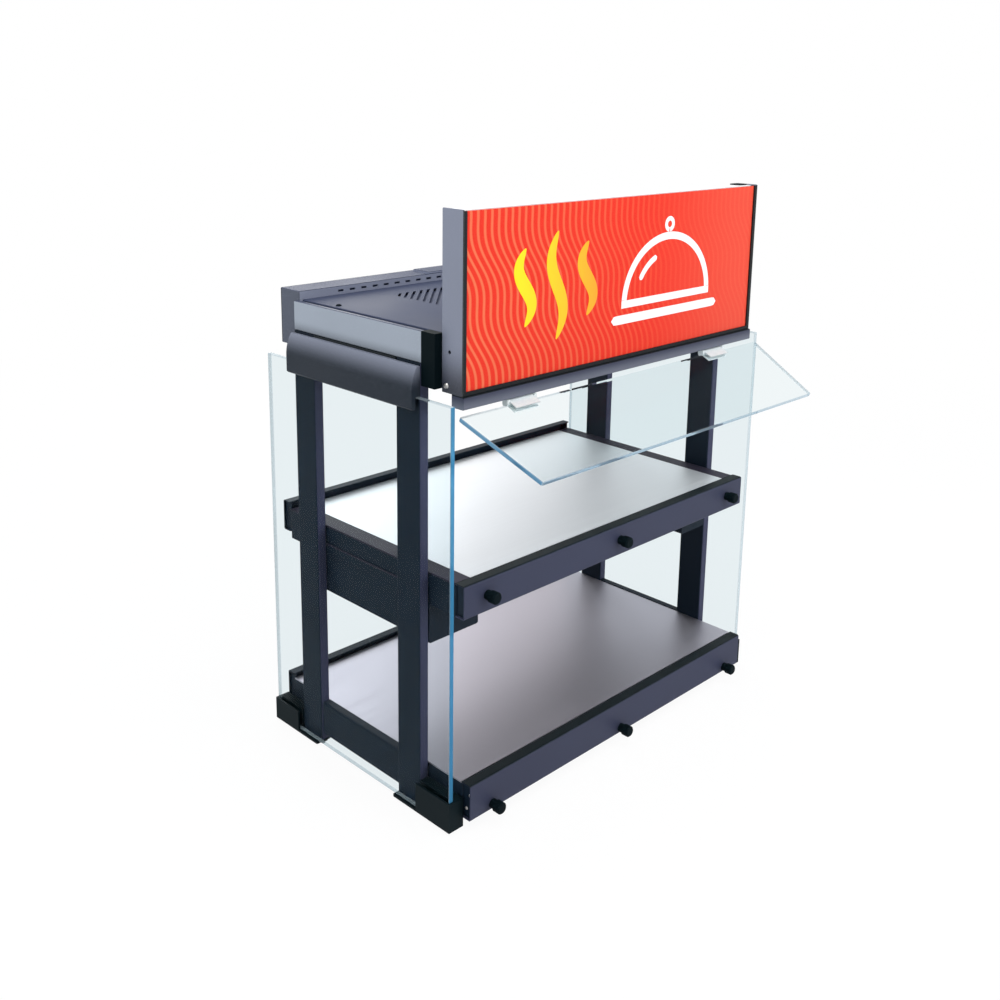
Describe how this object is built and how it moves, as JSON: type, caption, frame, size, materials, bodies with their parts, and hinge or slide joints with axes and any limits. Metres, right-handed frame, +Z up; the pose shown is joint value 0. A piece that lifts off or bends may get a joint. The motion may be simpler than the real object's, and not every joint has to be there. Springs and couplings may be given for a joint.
{
  "type": "heated display case",
  "caption": "Countertop heated display case: glass sides, heated base deck and shelf, vented hood with rear controls, sign box and tilting front guard glass.",
  "frame": {"origin": "on the counter under the middle of the overall box", "axes": "+X to the customer's right along the case's width, +Y from the customer's side to the operator's side, +Z up"},
  "size_m": [0.612, 0.4681, 0.738],
  "materials": {
    "black_paint": "satin powder coat",
    "grey_paint": "satin powder coat",
    "bare_deck": "fine brushed",
    "bright_deck": "fine brushed",
    "plated_sheet": "mill finish",
    "polished_sheet": "polished",
    "glass": "clear tempered",
    "sign_face": "printed film on clear panel",
    "black_plastic": "fine texture",
    "rubber": "matt",
    "insulation": "mineral wool",
    "heater_foil": "foil on silicone",
    "ceramic": "ceramic",
    "element_sheath": "oxidised sheath",
    "hardware": "zinc plated"
  },
  "bodies": {
    "case": {"base_deck": "bare_deck", "base_front_rail": "black_paint", "base_heater": "heater_foil", "base_insulation": "insulation", "base_rear_rail": "black_paint", "base_side_rail_left": "black_paint", "base_side_rail_right": "black_paint", "base_tray": "black_paint", "control_box": "grey_paint", "control_panel": "black_paint", "cord_gland": "black_plastic", "element_guard": "hardware", "element_holders": "ceramic", "foot_front_left": "black_paint", "foot_front_right": "black_paint", "foot_rear_left": "black_paint", "foot_rear_right": "black_paint", "front_beam": "black_paint", "front_studs": "black_paint", "guard_hinges": "hardware", "hood_cheek_left": "grey_paint", "hood_cheek_right": "grey_paint", "hood_cover": "grey_paint", "hood_liner": "plated_sheet", "infrared_element": "element_sheath", "post_front_left": "black_paint", "post_front_right": "black_paint", "post_rear_left": "black_paint", "post_rear_right": "black_paint", "rail_end_caps": "black_paint", "reflector": "polished_sheet", "rubber_feet": "rubber", "shelf_box_left": "black_paint", "shelf_box_right": "black_paint", "shelf_deck": "bright_deck", "shelf_front_rail": "black_paint", "shelf_heater": "heater_foil", "shelf_insulation": "insulation", "shelf_rear_rail": "black_paint", "shelf_tray": "black_paint", "shelf_trims": "grey_paint", "side_glass_left": "glass", "side_glass_right": "glass", "sign_back": "black_paint", "sign_channel": "black_paint", "sign_cheek_left": "black_paint", "sign_cheek_right": "black_paint", "sign_screws": "hardware", "sign_tracks": "black_plastic", "switch_body": "black_plastic", "terminal_block": "ceramic", "thermostats": "black_plastic", "top_rail_left": "black_paint", "top_rail_right": "black_paint"},
    "guard": {"guard_glass": "glass", "guard_clamps": "hardware"},
    "sign_panel": {"sign_insert": "sign_face"},
    "power_rocker": {"switch_rocker": "black_plastic"},
    "shelf_heat_knob": {"knob_shelf": "black_plastic"},
    "base_heat_knob": {"knob_base": "black_plastic"}
  },
  "joints": [
    {"name": "guard_hinge", "type": "hinge", "parent": "case", "child": "guard", "pos_m": [0, -0.1212, 0.5134], "axis": [1, 0, 0], "range_deg": [-26, 64]},
    {"name": "sign_lift", "type": "slide", "parent": "case", "child": "sign_panel", "axis": [0, 0, 1], "range_m": [0, 0.2]},
    {"name": "power_switch", "type": "hinge", "parent": "case", "child": "power_rocker", "pos_m": [-0.16, 0.2097, 0.575], "axis": [1, 0, 0], "range_deg": [0, 24]},
    {"name": "shelf_thermostat", "type": "hinge", "parent": "case", "child": "shelf_heat_knob", "pos_m": [-0.02, 0.2172, 0.575], "axis": [0, 1, 0], "range_deg": [0, 300]},
    {"name": "base_thermostat", "type": "hinge", "parent": "case", "child": "base_heat_knob", "pos_m": [0.055, 0.2172, 0.575], "axis": [0, 1, 0], "range_deg": [0, 300]}
  ]
}
